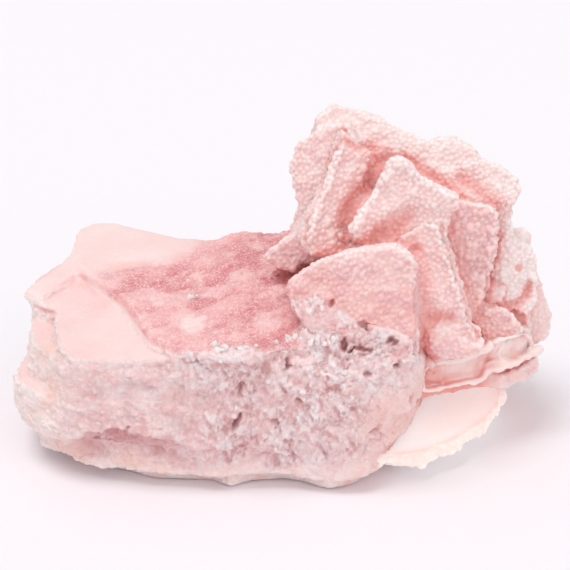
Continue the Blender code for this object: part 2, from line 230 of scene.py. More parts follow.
# Corners of the rose-coloured sugary patch, seen from above.
ROSE = (
    (-39, 9.5), (-37.5, 3), (-35.5, -3.5), (-32.5, -13), (-27, -23), (-18, -28), (-12.5, -29), (-6.6, -29),
    (0.6, -28), (8, -28), (20, -20), (26, 0), (26, 34), (-16, 34), (-19.5, 21), (-22.5, 15), (-29.5, 11.4),
)

# Creases on the slab, carved and darkened with painted shade: (depth, width, line).
BED_CREASES = (
    (0.5, 0.7, [(-43, 7.5, 31.6), (-40.2, 3.4, 31.2), (-37.6, -1, 30.9), (-35.6, -5.2, 30.6)]),
    (0.2, 0.5, [(-35.6, -5.2, 30.6), (-33, -9, 30.4), (-31, -13, 30), (-29.5, -17, 29.6)]),
    (0.4, 0.6, [(-52, -0.6, 29), (-49.5, -2, 28.6), (-47, -3.6, 28.9)]),
)

# Salmon blushes on the slab: (middle, half sizes).
BLUSHES = (
    ((-45.5, -19, 19), (3, 6, 4)),
    ((-46, -15.5, 26), (3.5, 3.5, 3)),
    ((-42, -17, 5), (7, 6, 3)),
    ((-30, -24, 6), (6, 6, 3)),
    ((-34, 12, 34), (6, 2.2, 3)),
)

# Where the rose-coloured patch is paler: (middle, half sizes).
PALE_SPOTS = (((-18, -16.5, 31), (2.8, 5, 6)),)

# Darker stretches of the broken wall, as under the front crystal: (middle, half sizes).
SHADOWS = (((21.5, -26, 29.5), (6, 6, 2.4)), ((-31, -26, 11), (6, 6, 2)))

# Loose white bits on the bed: (x, y, z, radius).
CRUMBS = (
    (-13.4, -25.6, 30.9, 1.3), (-12.6, -27, 30.5, 1.2), (-11.3, -26.2, 30.6, 0.8),
    (-10.1, -26.7, 30.4, 0.9), (-8.2, -26.4, 30.5, 1), (-7.2, -26, 30.5, 0.7), (-12.2, -28.2, 29.2, 0.9),
    (-20.2, 4, 33.2, 0.7), (-19.1, -4.2, 32.5, 0.9), (-17.9, -3.6, 32.6, 0.6), (-10.3, 1.5, 33, 0.5),
    (-5.5, -25.4, 30.7, 0.6), (0.6, -22.4, 31, 0.9), (2, -22.2, 31.3, 0.8), (3.3, -23.6, 31, 1.1),
    (4.9, -24.6, 31, 1.1), (6.3, -24.6, 31.6, 1), (1.6, -24.4, 30.2, 0.8), (7.6, -25.2, 31, 0.8),
    (-1.6, -23.6, 30.6, 0.6), (9.2, -24.9, 31.9, 0.8),
)

# Broken crust round the foot of the front crystal: its upper line (x, z), its place, and its outline there.
CRUST_LINE = ((0, 38), (3.5, 38), (7, 38.3), (9.5, 37.5), (12, 35.5), (16, 34), (21, 33.4), (26, 32.5))
CRUST_END = (26.2, 25.2)  # the crust fades out between these, at the blade
CRUST_PLACE = ((12.4, -21.5, 39.8), -4, 22)
CRUST_OUTLINE = [
    (-9.5, -6.2), (-6, -5.8), (-1, -6.8), (3.5, -5.8), (8.5, -6.6), (12.6, -8.2), (13.4, -13), (9, -15),
    (-3, -14.5), (-9.4, -10),
]

# Creases between the crystals, carved and darkened with painted shade, and the raised edges beside them,
# lifted and lightened with a painted highlight: (height, width, line).
CREASES = (
    (1.1, 1.2, [(10.4, 2.1, 63.2), (8.9, 3.1, 58.8), (7.1, 1.7, 54.1), (5, -2.1, 49.8), (3.8, -3.6, 44.4)]),
    (1.6, 1.5, [(20.9, 5, 59.1), (19, 4.2, 58.3), (17.3, 2.4, 56.9), (16.5, 0.1, 54.4), (15, -1, 53.1),
        (13.6, -1.9, 51.6), (12.6, -2.6, 49.6), (12.4, -3.6, 47.2), (13.2, -4.8, 44.6)]),
    (0.9, 1.7, [(18, -9.3, 46.6), (20.3, -8.6, 47.4), (22.2, -8.4, 48.9), (24, -8, 50.3)]),
    (1, 1.2, [(24.2, 5.5, 59.2), (25.8, 4.9, 58.1), (27.8, 4.5, 56.7), (29.8, 3.7, 55.4), (31.6, 3, 54.6),
        (33.4, 2.8, 53.6), (35.4, 1.6, 51.9)]),
    (1, 1, [(25.7, -10.6, 44.7), (25.7, -16.9, 42.7), (25.6, -21.3, 39.2), (25.8, -23.2, 34.8),
        (26, -24.4, 30.2)]),
    (0.9, 1, [(31.1, -9.2, 48.4), (32.5, -10.3, 45), (33.9, -11, 40.7), (35.3, -12.5, 35.9),
        (36.9, -13.8, 31.2), (38.6, -14.6, 28.1)]),
    (1.1, 1.1, [(43.3, 0.9, 48.9), (43.7, 3.6, 43.1), (43.2, 2.4, 38.5), (41.6, -3.1, 35.7),
        (40.7, -3.5, 31.5), (39.5, -4.3, 29.2)]),
    (0.9, 1, [(42.3, -2.5, 30.3), (45.3, -0.5, 29.1), (48.2, 0.8, 29), (49.9, 1.6, 30.5),
        (50.7, 2.1, 32.5)]),
    (0.6, 1.2, [(27.4, -14.3, 31.8), (29, -14.3, 30.9), (30.6, -13.9, 32.1), (32.9, -14.1, 31.7)]),
    (0.7, 1.5, [(35.9, 4.1, 55.1), (38.6, 3.4, 53.7), (41.1, 2.3, 51.9), (43.5, 1.2, 50.1)]),
    (0.7, 1.4, [(12, 1.9, 63.6), (14.6, 2.1, 62.4), (17.7, 5.8, 60.5)]),
)
RIDGES = (
    (0.5, 0.9, [(11.4, 1.8, 63.3), (10.2, 0.5, 59.9), (8.6, -1.3, 55.2), (6.6, -3.6, 50.3),
        (5.2, -5.4, 45.4)]),
    (0.5, 1.1, [(21.7, -5.7, 61), (20.2, -6.3, 59.3), (18.3, -6.1, 56.5), (16.7, -7.6, 54),
        (14.8, -7.9, 51), (13.9, -9.6, 48.5)]),
    (0.4, 1.1, [(22.5, -5.8, 61), (24.9, -6.2, 59.3), (27.5, -6.4, 57.6), (30, -7.4, 56),
        (32.3, -7.8, 54.7)]),
    (0.5, 0.8, [(28.1, -9.3, 49.6), (29.6, -9.7, 48.5), (31, -10.5, 45.1), (32.5, -11.7, 40.9),
        (33.9, -12.9, 36.1), (35.5, -14, 31.7), (37.5, -14.8, 28.2)]),
    (0.5, 0.8, [(42.2, -0.4, 48.9), (41.9, -1.3, 43.7), (41.1, -2.8, 38.8), (40.2, -3.6, 34.2),
        (39.2, -4.5, 30.6)]),
)

# Single large grains on the crystals: (x, y, z, radius).
GRAINS = (
    (15.9, 1.2, 58, 0.95), (15.2, 0.2, 55.8, 0.8), (12.2, -0.7, 56.3, 0.6), (15, -1.5, 52, 0.65),
    (14.4, -2.3, 50.5, 0.6), (19.4, 4.2, 58.2, 0.7), (18.3, 7.9, 64, 0.7), (35.3, -2.3, 49.5, 0.8),
    (32.6, -3.6, 49.3, 0.75), (33.3, -4, 45, 0.85), (35.6, -3.9, 42.8, 0.75), (36.9, -3.7, 40.6, 0.8),
    (37.2, -3.3, 43.5, 0.75), (38.2, -1.4, 49.6, 0.7), (35.5, -4.3, 39.6, 0.65), (35.9, -4.5, 37.5, 0.7),
    (34.5, -3, 47.2, 0.85), (34.1, -4.6, 42.2, 0.6), (37.2, -2.3, 46.5, 1.1), (38.9, -1.7, 47, 0.7),
)


# ---------------------------------------------------------------- noise, on arrays of places in millimetres

TURN = np.array(Euler((0.6, 1.1, 0.4)).to_matrix())
LEAN = np.array(Matrix.Rotation(math.radians(25), 3, "Y")).T
SLANT = np.array(Matrix.Rotation(math.radians(-50), 3, "Z")).T

# Odd numbers that turn a cell's place and a seed into well mixed bits.
CELL_PRIMES = (73856093, 19349663, 83492791)
SEED_PRIME = 2654435761
MIXERS = (0xFF51AFD7ED558CCD, 0xC4CEB9FE1A85EC53)
UPPER_HALF = np.uint64(33)


def hashed(cells, seed):
    """A number from 0 to 1 for each whole-numbered cell, the same each run."""
    h = np.full(len(cells), seed * SEED_PRIME, np.uint64)
    for axis, prime in enumerate(CELL_PRIMES):
        h ^= cells[:, axis].astype(np.int64).astype(np.uint64) * np.uint64(prime)
    for mixer in MIXERS:
        h ^= h >> UPPER_HALF
        h *= np.uint64(mixer)
    h ^= h >> UPPER_HALF
    return (h >> np.uint64(40)).astype(np.float64) / float(1 << 24)


def value_noise(places, seed):
    """Smooth noise from -1 to 1 with cells one unit wide."""
    cell = np.floor(places)
    part = places - cell
    fade = part * part * part * (part * (part * 6 - 15) + 10)
    total = np.zeros(len(places))
    for corner in product((0, 1), repeat=3):
        share = np.ones(len(places))
        for axis, step in enumerate(corner):
            share *= fade[:, axis] if step else 1 - fade[:, axis]
        total += share * hashed(cell + corner, seed)
    return 2 * total - 1


OCTAVE_SHIFT = 17.3  # keeps the octaves' cells apart
OCTAVE_RATIO = 2.03  # how much finer each octave is than the last
SPREAD = 1.6  # brings the sum's usual range to about -1 to 1


def fractal(places, size, octaves, seed, gain=0.5):
    """Sum of ever finer noise, from about -1 to 1, whose largest cells are size across."""
    total = np.zeros(len(places))
    height, reach, scale = 1.0, 0.0, 1.0 / size
    for octave in range(octaves):
        turned = places @ TURN if octave % 2 else places
        total += height * value_noise(turned * scale + OCTAVE_SHIFT * octave, seed + octave)
        reach += height
        height *= gain
        scale *= OCTAVE_RATIO
    return total / reach * SPREAD


def wander(points, reach, size, octaves, seeds):
    """Uneven moves of the points, by up to about this reach along each axis."""
    return reach * np.stack([fractal(points, size, octaves, seed) for seed in seeds], axis=1)


def voronoi(places, pitch, seed, jitter=0.9):
    """Distances to the two nearest scattered points, in pitches, and the nearest one's number."""
    scaled = places / pitch
    cell = np.floor(scaled)
    nearest = np.full(len(places), 9.0)
    second = np.full(len(places), 9.0)
    number = np.zeros(len(places))
    for step in product((-1, 0, 1), repeat=3):
        home = cell + step
        offsets = [hashed(home, seed + 101 * axis) for axis in range(3)]
        point = home + 0.5 + jitter * (np.stack(offsets, axis=1) - 0.5)
        gap = np.sqrt(((scaled - point) ** 2).sum(axis=1))
        closer = gap < nearest
        second = np.where(closer, nearest, np.minimum(second, gap))
        number = np.where(closer, offsets[0], number)
        nearest = np.where(closer, gap, nearest)
    return nearest, second, number


def ease(low, high, value):
    """Goes smoothly from 0 at low to 1 at high; low may be the greater."""
    share = np.clip((value - low) / (high - low), 0, 1)
    return share * share * (3 - 2 * share)


def rubble(points, pitch, seed):
    """Angular broken lumps, each at its own height, from -1 to 1."""
    nearest, second, number = voronoi(points, pitch, seed)
    cleft = ease(0.0, 0.25, second - nearest)
    return (2 * number - 1) * cleft - 0.6 * (1 - cleft)


# ---------------------------------------------------------------- meshes

def new_object(name, data):
    made = bpy.data.objects.new(name, data)
    bpy.context.scene.collection.objects.link(made)
    return made


def built(holder):
    """Mesh that an object's curve or modifiers make. The object itself goes."""
    bpy.context.view_layer.update()
    graph = bpy.context.evaluated_depsgraph_get()
    mesh = bpy.data.meshes.new_from_object(holder.evaluated_get(graph))
    bpy.data.objects.remove(holder)
    return mesh


def shell_of(meshes):
    shell = bmesh.new()
    for mesh in meshes:
        shell.from_mesh(mesh)
    return shell


def mesh_from(shell):
    """The shell as a mesh. The shell itself goes."""
    mesh = bpy.data.meshes.new("shell")
    shell.to_mesh(mesh)
    shell.free()
    return mesh


def tree_from(shell):
    """Search tree over the shell. The shell itself goes."""
    tree = BVHTree.FromBMesh(shell)
    shell.free()
    return tree


def closed(mesh):
    """The mesh with its seams joined and its faces turned outwards."""
    shell = shell_of([mesh])
    bmesh.ops.remove_doubles(shell, verts=shell.verts, dist=1e-4)
    bmesh.ops.recalc_face_normals(shell, faces=shell.faces)
    return mesh_from(shell)


def level(height):
    return Matrix.Translation((0, 0, height))


def new_curve(**settings):
    curve = bpy.data.curves.new("curve", "CURVE")
    curve.bevel_resolution = 2
    for name, value in settings.items():
        setattr(curve, name, value)
    return curve


def prism(outline, thickness, place):
    """Mesh of a closed outline with a thickness below it and worn edges, in mm."""
    curve = new_curve(dimensions="2D", fill_mode="BOTH", bevel_depth=EDGE, offset=-EDGE,
                      extrude=thickness / 2 - EDGE)
    spline = curve.splines.new("POLY")
    spline.points.add(len(outline) - 1)
    for point, (x, y) in zip(spline.points, outline):
        point.co = (x, y, 0, 1)
    spline.use_cyclic_u = True
    mesh = built(new_object("outline", curve))
    mesh.transform(place @ level(-thickness / 2))
    return closed(mesh)


def lip(width, places):
    """Mesh of a rounded lip that follows these places, in mm."""
    curve = new_curve(dimensions="3D", bevel_depth=width / 2, use_fill_caps=True, resolution_u=6)
    spline = curve.splines.new("BEZIER")
    spline.bezier_points.add(len(places) - 1)
    for point, place in zip(spline.bezier_points, places):
        point.co = place
        point.handle_left_type = point.handle_right_type = "AUTO"
    return closed(built(new_object("lip", curve)))


def cube(middle, edges, turns):
    """Mesh of a cube with worn edges, in mm."""
    shell = bmesh.new()
    bmesh.ops.create_cube(shell, size=1)
    bmesh.ops.scale(shell, vec=edges, verts=shell.verts)
    bmesh.ops.bevel(shell, geom=shell.edges[:], offset=2 * EDGE, segments=3, profile=0.5, affect="EDGES")
    turn = Euler([math.radians(turn) for turn in turns]).to_matrix().to_4x4()
    bmesh.ops.transform(shell, matrix=Matrix.Translation(middle) @ turn, verts=shell.verts)
    return mesh_from(shell)


def fused(meshes, voxel):
    """Points and triangles of one surface round overlapping meshes."""
    holder = new_object("fused", mesh_from(shell_of(meshes)))
    grid = holder.modifiers.new("fuse", "REMESH")
    grid.mode = "VOXEL"
    grid.voxel_size = voxel
    return arrays(built(holder))


def thinned(points, faces, hidden, share):
    """Fewer triangles where the surface is out of sight."""
    holder = new_object("thinned", mesh_of("thinned", points, faces))
    group = holder.vertex_groups.new(name="hidden")
    group.add([int(number) for number in np.nonzero(hidden)[0]], 1.0, "REPLACE")
    fewer = holder.modifiers.new("thin", "DECIMATE")
    fewer.vertex_group = "hidden"
    fewer.ratio = share
    return arrays(built(holder))


def arrays(mesh):
    """Points and triangles of a mesh."""
    mesh.calc_loop_triangles()
    points = np.empty(len(mesh.vertices) * 3)
    mesh.vertices.foreach_get("co", points)
    faces = np.empty(len(mesh.loop_triangles) * 3, np.int32)
    mesh.loop_triangles.foreach_get("vertices", faces)
    return points.reshape(-1, 3), faces.reshape(-1, 3).astype(np.int64)


def mesh_of(name, points, faces):
    mesh = bpy.data.meshes.new(name)
    mesh.vertices.add(len(points))
    mesh.vertices.foreach_set("co", points.astype(np.float32).ravel())
    mesh.loops.add(len(faces) * 3)
    mesh.loops.foreach_set("vertex_index", faces.astype(np.int32).ravel())
    mesh.polygons.add(len(faces))
    mesh.polygons.foreach_set("loop_start", np.arange(len(faces), dtype=np.int32) * 3)
    mesh.update(calc_edges=True)
    return mesh


def edge_list(faces):
    """The mesh's edges, and for each triangle the numbers of its three edges."""
    ends = np.sort(np.concatenate([faces[:, [0, 1]], faces[:, [1, 2]], faces[:, [2, 0]]]), axis=1)
    top = int(faces.max()) + 1
    keys, index = np.unique(ends[:, 0] * top + ends[:, 1], return_inverse=True)
    return np.stack([keys // top, keys % top], axis=1), index.reshape(3, -1).T


def smoothed(values, faces, rounds, share=0.5):
    """Moves each row of values towards the mean of its neighbours'."""
    edges, _ = edge_list(faces)
    count = np.bincount(edges.ravel(), minlength=len(values))[:, None]
    for _ in range(rounds):
        total = np.zeros_like(values)
        for column, (near, far) in product(range(values.shape[1]), ((0, 1), (1, 0))):
            total[:, column] += np.bincount(edges[:, near], values[edges[:, far], column], len(values))
        values = values + share * (total / count - values)
    return values


def across(corners):
    """A vector straight out of each triangle, as long as twice its area."""
    return np.cross(corners[:, 1] - corners[:, 0], corners[:, 2] - corners[:, 0])


def normals_of(points, faces):
    outward = across(points[faces])
    total = np.zeros_like(points)
    for corner, axis in product(range(3), repeat=2):
        total[:, axis] += np.bincount(faces[:, corner], outward[:, axis], len(points))
    return total / np.maximum(np.linalg.norm(total, axis=1, keepdims=True), 1e-12)


# How a triangle splits: (which of its edges do, corners of each part, 3 to 5 being the edges' middles).
SPLITS = (
    ((0, 0, 0), ((0, 1, 2),)),
    ((1, 0, 0), ((0, 3, 2), (3, 1, 2))),
    ((1, 1, 0), ((3, 1, 4), (0, 3, 4), (0, 4, 2))),
    ((1, 1, 1), ((0, 3, 5), (3, 1, 4), (5, 4, 2), (3, 4, 5))),
    ((0, 1, 0), ((1, 4, 0), (4, 2, 0))),
    ((0, 1, 1), ((4, 2, 5), (1, 4, 5), (1, 5, 0))),
    ((0, 0, 1), ((2, 5, 1), (5, 0, 1))),
    ((1, 0, 1), ((5, 0, 3), (2, 5, 3), (2, 3, 1))),
)


def halved(values, faces, chosen):
    """Splits each edge of the chosen triangles in the middle, and their neighbours to match."""
    edges, of_face = edge_list(faces)
    split = np.zeros(len(edges), bool)
    split[of_face[chosen].ravel()] = True
    middle = np.full(len(edges), -1)
    middle[split] = len(values) + np.arange(split.sum())
    values = np.concatenate([values, values[edges[split]].mean(axis=1)])
    corners = np.column_stack([faces, middle[of_face]])
    rows = [((split[of_face] == marks).all(axis=1), parts) for marks, parts in SPLITS]
    return values, np.concatenate([corners[which][:, part] for which, parts in rows for part in parts])


def refined(points, faces, fields, chosen):
    """Halves the edges round the chosen points and eases all but chosen, which becomes a share."""
    values = np.column_stack([points, *fields, chosen])
    values, faces = halved(values, faces, chosen[faces].any(axis=1))
    fields = smoothed(values[:, 3:-1], faces, 2)
    return smoothed(values[:, :3], faces, 1), faces, *fields.T, values[:, -1]


# ---------------------------------------------------------------- what a surface sees

TOWARDS_FRONT = np.array((0, -math.cos(math.radians(25)), math.sin(math.radians(25))))
RAYS = 14
RAY_REACH = 9.0
RAY_START = 0.7  # height above the surface, over its own unevenness
RAY_LIFT = 1.02  # keeps every ray above the surface's plane


def in_solid(points):
    """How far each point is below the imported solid's surface, in mm."""
    depths = np.empty(len(points))
    for number, point in enumerate(points):
        place, normal, _, _ = SOLID.find_nearest(Vector(point))
        depths[number] = (place - Vector(point)).dot(normal)
    return depths


def occlusion(points, normals, chosen):
    """Share of the sky over each chosen point that near surfaces block, from 0 to 1; 1 for the rest."""
    rng = np.random.default_rng(7)
    directions = rng.normal(size=(RAYS, 3))
    directions /= np.linalg.norm(directions, axis=1, keepdims=True)
    blocked = np.ones(len(points))
    for number in np.nonzero(chosen)[0]:
        normal = normals[number]
        start = Vector(points[number] + RAY_START * normal)
        rays = (Vector(direction + RAY_LIFT * normal) for direction in directions)
        gaps = (EVERYTHING.ray_cast(start, ray, RAY_REACH)[3] for ray in rays)
        blocked[number] = sum(1 - gap / RAY_REACH for gap in gaps if gap is not None) / RAYS
    return blocked


def studied(points, faces, seen, rounds):
    """Normals, how far each point stands out of the surface smoothed this often, and how enclosed it is."""
    normals = normals_of(points, faces)
    edge = ((points - smoothed(points, faces, rounds)) * normals).sum(axis=1)
    return normals, edge, occlusion(points, normals, seen)


def solid_tree():
    """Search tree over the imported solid, in mm in the plan of the outlines."""
    shell = shell_of([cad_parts[NODE].data])
    bmesh.ops.remove_doubles(shell, verts=shell.verts, dist=1e-6)
    bmesh.ops.scale(shell, vec=(1 / MM,) * 3, verts=shell.verts)
    bmesh.ops.translate(shell, vec=FOOT_MIDDLE, verts=shell.verts)
    return tree_from(shell)


def finished(name, points, faces, material, fields):
    """Puts the piece in the frame, with its fields as attributes."""
    mesh = mesh_of(name, (points - np.array(FOOT_MIDDLE)) * MM, faces)
    mesh.shade_smooth()
    for field, values in fields.items():
        attribute = mesh.attributes.new(field, "FLOAT", "POINT")
        attribute.data.foreach_set("value", np.clip(values, 0, 1).astype(np.float32))
    mesh.materials.append(material)
    made = new_object(name, mesh)
    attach(made, "root")
    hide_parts(NODE)


def base_surface(meshes, voxel, rounds=3):
    """Fused surface, thinned inside the specimen and on its sole, and which points are in the open."""
    points, faces = fused(meshes, voxel)
    points = smoothed(points, faces, rounds)
    sole = (points[:, 2] < 0.3) & (normals_of(points, faces)[:, 2] < -0.9)
    plain = ~in_open(points) | sole
    hidden = plain[faces].all(axis=1)
    behind = np.ones(len(points), bool)
    behind[faces[~hidden].ravel()] = False
    points, faces = thinned(points, faces, behind, 1 - THINNING * hidden.mean())
    return points, faces, in_open(points)


def in_open(points):
    return in_solid(points) < DEEP


def in_front(points, faces):
    return normals_of(points, faces) @ TOWARDS_FRONT > -0.25


# ---------------------------------------------------------------- sugary crystals

def scattered(points, faces, spacing, seed):
    """Places on these triangles at least this far apart, and the triangle of each."""
    rng = np.random.default_rng(seed)
    corners = points[faces]
    area = np.linalg.norm(across(corners), axis=1) / 2
    tries = int(area.sum() / spacing ** 2 * 5)
    picked = rng.choice(len(faces), tries, p=area / area.sum())
    chosen = corners[picked]
    u, v = rng.random((2, tries, 1))
    flip = u + v > 1
    u, v = np.where(flip, 1 - u, u), np.where(flip, 1 - v, v)
    places = chosen[:, 0] + u * (chosen[:, 1] - chosen[:, 0]) + v * (chosen[:, 2] - chosen[:, 0])
    cells = np.floor(places / spacing).astype(int)
    kept, grid = [], {}
    for number, (place, (x, y, z)) in enumerate(zip(places, cells)):
        near = (grid.get((x + i, y + j, z + k)) for i, j, k in product((-1, 0, 1), repeat=3))
        if all(other is None or ((place - other) ** 2).sum() > spacing ** 2 for other in near):
            grid[(x, y, z)] = place
            kept.append(number)
    return places[kept], picked[kept]


def bead_heights(points, chosen, beads, radii, tones):
    """Height of the grains over each chosen point, how near it is to a grain's top, and its tone."""
    tree = KDTree(len(beads))
    for number, place in enumerate(beads):
        tree.insert(place, number)
    tree.balance()
    height = np.zeros(len(points))
    top = np.zeros(len(points))
    tone = np.full(len(points), 0.5)
    for number in np.nonzero(chosen)[0]:
        for _, bead, gap in tree.find_n(points[number], NEAR_GRAINS):
            if gap < radii[bead]:
                rise = math.sqrt(radii[bead] * radii[bead] - gap * gap)
                if rise > height[number]:
                    height[number], top[number], tone[number] = rise, rise / radii[bead], tones[bead]
    return height, top, tone


def sugary(name, meshes, material, seed, voxel=CRYSTAL_VOXEL, coarse=1.0, tinted=(), crusted=False):
    """Crystals grown together under a crust of round grains, finest towards the front."""
    points, faces, seen = base_surface(meshes, voxel)
    if crusted:
        points = points - normals_of(points, faces) * hollow_depth(points)[:, None]
    normals, edge, shade = studied(points, faces, seen, 14)
    fine = seen & ((coarse > 1) | in_front(points, faces))
    tint = tint_of(points, tinted)
    points, faces, shade, edge, tint, fine = refined(points, faces, (shade, edge, tint), fine)
    normals = normals_of(points, faces)
    seen = shade < SEEN_SHADE
    dented, depth = crease_share(points, CREASES)
    raised, rise = crease_share(points, RIDGES)
    # Painted shade: deeper in the creases, less on the paler crystals.
    shade = shade * (1 - 0.4 * ease(PLAIN, 0, tint)) + 0.5 * dented
    # Painted shade on the front crystal towards its crust, and painted shadow in the SHADOWS spots.
    shade = shade + crusted * (0.26 * foot_share(points) + 0.4 * spot_share(points, SHADOWS))
    shade = np.where(seen, np.clip(shade, 0, 0.99), 1)
    # Painted highlight along the ridges.
    edge = edge + 0.3 * raised
    broad = rise - depth + 0.45 * fractal(points, 6.0, 3, seed)
    points = points + normals * np.where(seen, broad, 0)[:, None]
    normals = normals_of(points, faces)
    open_face = seen[faces].any(axis=1)
    near = (fine > 0.5)[faces].all(axis=1)
    beads, radii = grains_on(points, faces[open_face & near], edge, coarse, seed)
    if coarse == 1:
        far_beads, far_radii = grains_on(points, faces[open_face & ~near], edge, FAR_GRAINS, seed + 5)
        beads, radii = np.concatenate([beads, far_beads]), np.concatenate([radii, far_radii])
    beads, radii = with_grains(points, beads, radii)
    tones = np.random.default_rng(seed + 1).random(len(beads))
    # Large grains painted pale, a painted highlight on them.
    tones[radii > LARGE_GRAIN * coarse] = 0.95
    height, top, tone = bead_heights(points, seen, beads, radii, tones)
    crust = crust_share(points) * crusted
    flaky = crumbly_relief(points)
    up = ease(0.3, 0.7, normals[:, 2])
    bold = 0.74 + 0.25 * fractal(points, 9.0, 2, seed + 2) + 0.25 * bead_share(points) - 0.25 * up
    bold = np.minimum(bold + 0.35 * ease(0.15, 0.5, edge), 1.15)
    ragged = 0.22 * fractal(points, 1.8, 2, seed + 3)
    lift = np.where(seen, (1 - crust) * (bold * (0.9 * height - 0.25) + ragged) + crust * flaky, 0)
    points = smoothed(points + normals * lift[:, None], faces, 1, 0.25)
    finished(name, points, faces, material,
             {"grain": top, "tone": tone, "shade": shade, "edge": 0.5 + edge, "tint": tint, "up": up,
              "crumbly": crust, "relief": 0.5 + 0.7 * flaky})


def grains_on(points, faces, edge, coarse, seed):
    """Places and radii of grains on these triangles, this many times the usual size, larger on edges."""
    if not len(faces):
        return np.zeros((0, 3)), np.zeros(0)
    beads, picked = scattered(points, faces, GRAIN_GAP * coarse, seed)
    rim = ease(0.08, 0.35, edge[faces[picked]].mean(axis=1))
    rng = np.random.default_rng(seed + 1)
    radii = rng.uniform(*GRAIN_RADII, len(beads)) * (1 + 0.35 * rim)
    often = rng.random(len(beads)) < 0.03 + 0.22 * bead_share(beads)
    return beads, coarse * np.where(often, rng.uniform(*LARGE_RADII, len(beads)), radii)


def with_grains(points, beads, radii):
    """Adds the single large grains that sit on this surface, in place of the small ones round them."""
    for x, y, z, radius in GRAINS:
        gaps = np.linalg.norm(points - (x, y, z), axis=1)
        nearest = int(gaps.argmin())
        if gaps[nearest] < GRAIN_REACH:
            clear = np.linalg.norm(beads - points[nearest], axis=1) > radius + 0.25
            beads = np.concatenate([beads[clear], points[nearest][None]])
            radii = np.append(radii[clear], radius)
    return beads, radii


def over_crust_line(points):
    return points[:, 2] - np.interp(points[:, 0], *zip(*CRUST_LINE))


def left_of_blade(points):
    return ease(*CRUST_END, points[:, 0])


def crust_share(points):
    """1 where broken crust covers the foot of the front crystal, 0 on the sugary faces."""
    below = 1.1 * fractal(points, 3.0, 3, 61) - over_crust_line(points)
    return ease(-0.5, 0.7, below) * left_of_blade(points)


def foot_share(points):
    """How near each point of the front crystal is to the crust below it, from 0 to 1."""
    return ease(13, 0, over_crust_line(points)) * left_of_blade(points)


def bead_share(places):
    """Where the larger grains are common: the mauve face and the step over it."""
    gap = np.linalg.norm((places - (38, -2, 42)) * (1, 0.5, 0.8), axis=1)
    return 1 - ease(5, 11, gap)


def crease_share(points, creases):
    """How near each point is to the creases' lines, from 0 to 1, and the depth they carve there."""
    near = np.zeros(len(points))
    carved = np.zeros(len(points))
    for depth, width, path in creases:
        gap = np.full(len(points), 99.0)
        for start, end in zip(np.array(path[:-1], float), np.array(path[1:], float)):
            along = end - start
            part = np.clip((points - start) @ along / (along @ along), 0, 1)
            gap = np.minimum(gap, np.linalg.norm(points - start - part[:, None] * along, axis=1))
        share = np.exp(-(gap / width) ** 2)
        near = np.maximum(near, share)
        carved = carved + depth * share
    return near, carved


def tint_of(points, names):
    """Depth of the mauve tint at each point: PLAIN, or its own value on each of these crystals."""
    tint = np.full(len(points), PLAIN)
    for name in names:
        tree = tree_from(shell_of([CRYSTAL_MESHES[name]]))
        gaps = np.array([tree.find_nearest(Vector(point))[3] for point in points])
        share = 1 - ease(0.4, 1.4, gaps)
        tint += share * (TINTS[name] - tint)
    return tint


def crystal_mesh(name):
    at, yaw, pitch, thickness, outline = CRYSTALS[name]
    return prism(outline, thickness, face_place(at, yaw, pitch))


def face_place(at, yaw, pitch):
    turn = Euler((math.radians(90 - pitch), 0, math.radians(yaw))).to_matrix().to_4x4()
    return Matrix.Translation(at) @ turn


# ---------------------------------------------------------------- broken slab

def inside(corners, x, y):
    """Whether each place is inside the polygon."""
    found = np.zeros(len(x), bool)
    for (x0, y0), (x1, y1) in zip(corners, corners[1:] + corners[:1]):
        cross = (y0 > y) != (y1 > y)
        with np.errstate(divide="ignore", invalid="ignore"):
            found ^= cross & (x < (x1 - x0) * (y - y0) / (y1 - y0) + x0)
    return found


def hollow_depth(points):
    total = np.zeros(len(points))
    warp = wander(points, 0.45, 1.2, 2, (5, 6, 7))
    for middle, sizes, turn, depth in HOLLOWS:
        local = (points - middle) @ np.array(Matrix.Rotation(math.radians(-turn), 3, "Y")).T
        gap = np.sqrt((((local + warp) / sizes) ** 2).sum(axis=1))
        total = np.maximum(total, depth * (1 - ease(0.5, 0.95, gap)))
    return total


def crumbly_relief(points):
    """Rise of crumbs, shards and pits, from about -1 to 1."""
    leaning = points @ LEAN * (1.6, 1, 0.8)
    patch = ease(-0.35, 0.3, fractal(points, 5.0, 2, 415))
    chunks = 0.26 * rubble(leaning, 2.0, 421) + 0.24 * rubble(leaning, 1.0, 431)
    shards = 0.38 * (0.5 - 2.2 * np.abs(fractal(leaning, 2.4, 3, 435)))
    pits = ease(0.4, 0.75, fractal(points, 2.0, 3, 451))
    rise = chunks + np.maximum(shards, -0.2) - 0.3 * pits
    return (0.4 + 0.6 * patch) * rise + 0.15 * fractal(points, 0.8, 2, 461)


